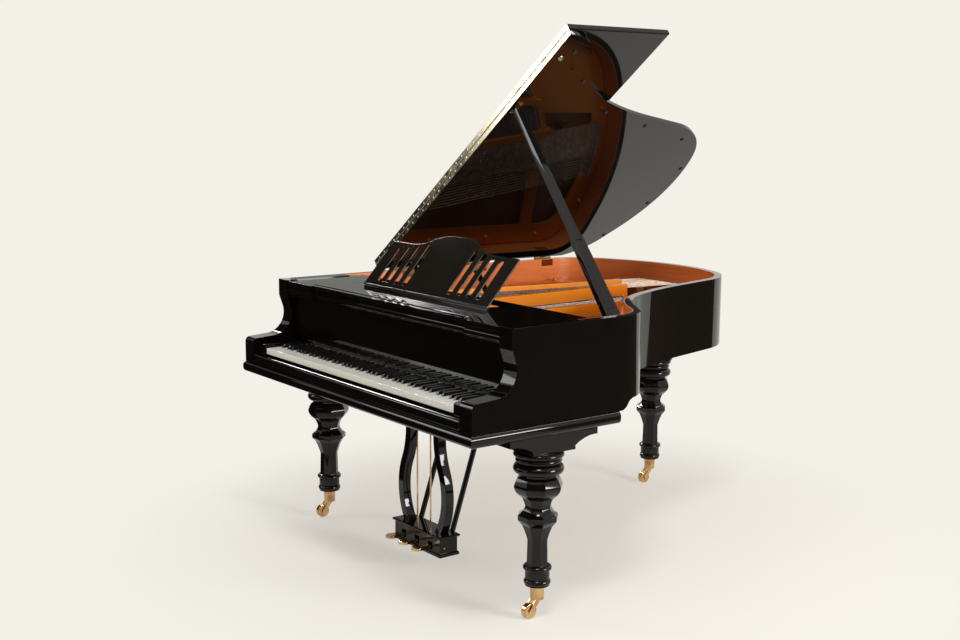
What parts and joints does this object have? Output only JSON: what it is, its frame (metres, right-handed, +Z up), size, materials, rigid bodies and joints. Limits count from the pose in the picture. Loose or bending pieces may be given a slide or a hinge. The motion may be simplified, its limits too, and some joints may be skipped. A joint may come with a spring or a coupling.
{
  "type": "grand piano",
  "caption": "Black lacquered grand piano with turned legs on brass casters, lid raised on its prop, folded front flap, slotted music desk, keyboard and pedal lyre.",
  "frame": {"origin": "on the floor, under the middle of the overall box", "axes": "+X to the treble side, +Y from the keyboard to the tail, +Z up"},
  "size_m": [1.5153, 1.8299, 1.8942],
  "materials": {
    "black_lacquer": "black polyester lacquer polished to a mirror",
    "rim_veneer": "clear lacquered reddish veneer",
    "spruce": "satin varnished spruce",
    "maple": "plain maple and beech",
    "keybed_wood": "stained satin wood",
    "bronzed_iron": "gold bronze lacquer",
    "string_steel": "drawn bright steel",
    "string_winding": "copper winding on a steel core",
    "damper_black": "black satin wood with white felt",
    "key_white": "ivory white acrylic",
    "key_black": "satin black",
    "polished_brass": "polished brass"
  },
  "bodies": {
    "case": {"outer_rim": "black_lacquer", "keybed_moulding": "black_lacquer", "key_slip": "black_lacquer", "cheek_blocks": "black_lacquer", "shelf_side_boards": "black_lacquer", "leg_blocks": "black_lacquer", "leg_bass": "black_lacquer", "leg_treble": "black_lacquer", "leg_tail": "black_lacquer", "lyre_posts": "black_lacquer", "lyre_head": "black_lacquer", "pedal_box": "black_lacquer", "lyre_braces": "black_lacquer", "inner_rim": "rim_veneer", "soundboard": "spruce", "soundboard_ribs": "spruce", "back_frame": "spruce", "bridges": "maple", "pin_block": "maple", "keybed": "keybed_wood", "iron_plate": "bronzed_iron", "plain_strings": "string_steel", "tuning_pins": "string_steel", "pedal_pivot_rod": "string_steel", "fallboard_pins": "string_steel", "wound_strings": "string_winding", "lid_hinge_case_leaves": "polished_brass", "prop_bracket": "polished_brass", "caster_ferrules": "polished_brass"},
    "lid": {"lid_main": "black_lacquer", "lid_hinge_lid_leaves": "polished_brass", "flap_hinge_lid_leaf": "polished_brass", "prop_cup": "polished_brass"},
    "lid_flap": {"lid_flap": "black_lacquer", "flap_hinge_flap_leaf": "polished_brass"},
    "lid_prop": {"lid_prop": "black_lacquer"},
    "half_prop": {"half_prop": "black_lacquer"},
    "fallboard": {"fallboard": "black_lacquer"},
    "music_shelf": {"music_shelf": "black_lacquer"},
    "music_desk": {"music_desk": "black_lacquer"},
    "desk_stays": {"desk_stays": "maple"},
    "key_frame": {"key_frame": "maple", "action_frame": "string_steel"},
    "white_keys": {"white_keys": "key_white"},
    "black_keys": {"black_keys": "key_black"},
    "white_key_hammers": {"white_key_hammers": "maple"},
    "black_key_hammers": {"black_key_hammers": "maple"},
    "dampers": {"dampers": "damper_black"},
    "pedal_left": {"pedal_left": "polished_brass"},
    "pedal_rod_left": {"pedal_rod_left": "polished_brass"},
    "pedal_middle": {"pedal_middle": "polished_brass"},
    "pedal_rod_middle": {"pedal_rod_middle": "polished_brass"},
    "pedal_right": {"pedal_right": "polished_brass"},
    "pedal_rod_right": {"pedal_rod_right": "polished_brass"},
    "caster_fork_bass": {"caster_fork_bass": "polished_brass"},
    "caster_wheel_bass": {"caster_wheel_bass": "polished_brass"},
    "caster_fork_treble": {"caster_fork_treble": "polished_brass"},
    "caster_wheel_treble": {"caster_wheel_treble": "polished_brass"},
    "caster_fork_tail": {"caster_fork_tail": "polished_brass"},
    "caster_wheel_tail": {"caster_wheel_tail": "polished_brass"}
  },
  "joints": [
    {"name": "lid_lift", "type": "hinge", "parent": "case", "child": "lid", "pos_m": [-0.745, 0.3, 0.967], "axis": [0, -1, 0], "range_deg": [0, 20]},
    {"name": "flap_fold", "type": "hinge", "parent": "lid", "child": "lid_flap", "pos_m": [-0.16079, -0.3048, 1.42989], "axis": [0.8028, 0, 0.5962], "range_deg": [0, 178]},
    {"name": "prop_fold", "type": "hinge", "parent": "case", "child": "lid_prop", "pos_m": [0.665, -0.281, 0.938], "axis": [0, -1, 0], "range_deg": [0, 51]},
    {"name": "half_prop_swing", "type": "hinge", "parent": "lid_prop", "child": "half_prop", "pos_m": [0.64251, -0.281, 0.97622], "axis": [0, 1, 0], "range_deg": [0, 60]},
    {"name": "fallboard_close", "type": "hinge", "parent": "case", "child": "fallboard", "pos_m": [0, -0.717, 0.746], "axis": [1, 0, 0], "range_deg": [0, 88]},
    {"name": "shelf_slide", "type": "slide", "parent": "case", "child": "music_shelf", "axis": [0, 1, 0], "range_m": [-0.06, 0.015]},
    {"name": "desk_fold", "type": "hinge", "parent": "music_shelf", "child": "music_desk", "pos_m": [0, -0.5886, 0.9642], "axis": [1, 0, 0], "range_deg": [-47, 0]},
    {"name": "stays_fold", "type": "hinge", "parent": "music_desk", "child": "desk_stays", "pos_m": [0, -0.49002, 1.06393], "axis": [1, 0, 0], "range_deg": [-60, 0]},
    {"name": "key_frame_shift", "type": "slide", "parent": "case", "child": "key_frame", "axis": [1, 0, 0], "range_m": [0, 0.003], "stiffness_N_per_m": 4000, "springref_m": -0.002},
    {"name": "white_keys_dip", "type": "hinge", "parent": "key_frame", "child": "white_keys", "pos_m": [0, -0.667, 0.6937], "axis": [1, 0, 0], "range_deg": [0, 2.5], "stiffness_Nm_per_rad": 60, "springref_deg": -2.86},
    {"name": "black_keys_dip", "type": "hinge", "parent": "key_frame", "child": "black_keys", "pos_m": [0, -0.667, 0.6937], "axis": [1, 0, 0], "range_deg": [0, 2.5], "stiffness_Nm_per_rad": 40, "springref_deg": -2.86},
    {"name": "white_hammers_rise", "type": "hinge", "parent": "key_frame", "child": "white_key_hammers", "pos_m": [0, -0.522, 0.795], "axis": [1, 0, 0], "range_deg": [0, 21]},
    {"name": "black_hammers_rise", "type": "hinge", "parent": "key_frame", "child": "black_key_hammers", "pos_m": [0, -0.522, 0.795], "axis": [1, 0, 0], "range_deg": [0, 21]},
    {"name": "dampers_lift", "type": "slide", "parent": "case", "child": "dampers", "axis": [0, 0, 1], "range_m": [0, 0.006]},
    {"name": "pedal_left_press", "type": "hinge", "parent": "case", "child": "pedal_left", "pos_m": [-0.085, -0.589, 0.082], "axis": [1, 0, 0], "range_deg": [0, 8]},
    {"name": "pedal_rod_left_lift", "type": "slide", "parent": "case", "child": "pedal_rod_left", "axis": [0, 0, 1], "range_m": [0, 0.0056]},
    {"name": "pedal_middle_press", "type": "hinge", "parent": "case", "child": "pedal_middle", "pos_m": [0, -0.589, 0.082], "axis": [1, 0, 0], "range_deg": [0, 8], "stiffness_Nm_per_rad": 12, "springref_deg": -5.73},
    {"name": "pedal_rod_middle_lift", "type": "slide", "parent": "case", "child": "pedal_rod_middle", "axis": [0, 0, 1], "range_m": [0, 0.0056]},
    {"name": "pedal_right_press", "type": "hinge", "parent": "case", "child": "pedal_right", "pos_m": [0.085, -0.589, 0.082], "axis": [1, 0, 0], "range_deg": [0, 8], "stiffness_Nm_per_rad": 12, "springref_deg": -5.73},
    {"name": "pedal_rod_right_lift", "type": "slide", "parent": "case", "child": "pedal_rod_right", "axis": [0, 0, 1], "range_m": [0, 0.0056]},
    {"name": "caster_bass_swivel", "type": "hinge", "parent": "case", "child": "caster_fork_bass", "pos_m": [-0.663, -0.588, 0.066], "axis": [0, 0, 1], "continuous": true},
    {"name": "caster_bass_roll", "type": "hinge", "parent": "caster_fork_bass", "child": "caster_wheel_bass", "pos_m": [-0.663, -0.621, 0.025], "axis": [1, 0, 0], "continuous": true},
    {"name": "caster_treble_swivel", "type": "hinge", "parent": "case", "child": "caster_fork_treble", "pos_m": [0.663, -0.588, 0.066], "axis": [0, 0, 1], "continuous": true},
    {"name": "caster_treble_roll", "type": "hinge", "parent": "caster_fork_treble", "child": "caster_wheel_treble", "pos_m": [0.663, -0.621, 0.025], "axis": [1, 0, 0], "continuous": true},
    {"name": "caster_tail_swivel", "type": "hinge", "parent": "case", "child": "caster_fork_tail", "pos_m": [-0.28, 0.815, 0.066], "axis": [0, 0, 1], "continuous": true},
    {"name": "caster_tail_roll", "type": "hinge", "parent": "caster_fork_tail", "child": "caster_wheel_tail", "pos_m": [-0.28, 0.782, 0.025], "axis": [1, 0, 0], "continuous": true}
  ],
  "couplings": [
    {"joint": "stays_fold", "follows": "desk_fold", "ratio": 1.25},
    {"joint": "white_hammers_rise", "follows": "white_keys_dip", "ratio": 8.4},
    {"joint": "black_hammers_rise", "follows": "black_keys_dip", "ratio": 8.4},
    {"joint": "pedal_left_press", "follows": "key_frame_shift", "rad_per_m": 46.5},
    {"joint": "pedal_rod_left_lift", "follows": "key_frame_shift", "ratio": 1.86},
    {"joint": "dampers_lift", "follows": "pedal_right_press", "m_per_rad": 0.042829},
    {"joint": "pedal_rod_middle_lift", "follows": "pedal_middle_press", "m_per_rad": 0.04},
    {"joint": "pedal_rod_right_lift", "follows": "pedal_right_press", "m_per_rad": 0.04}
  ]
}
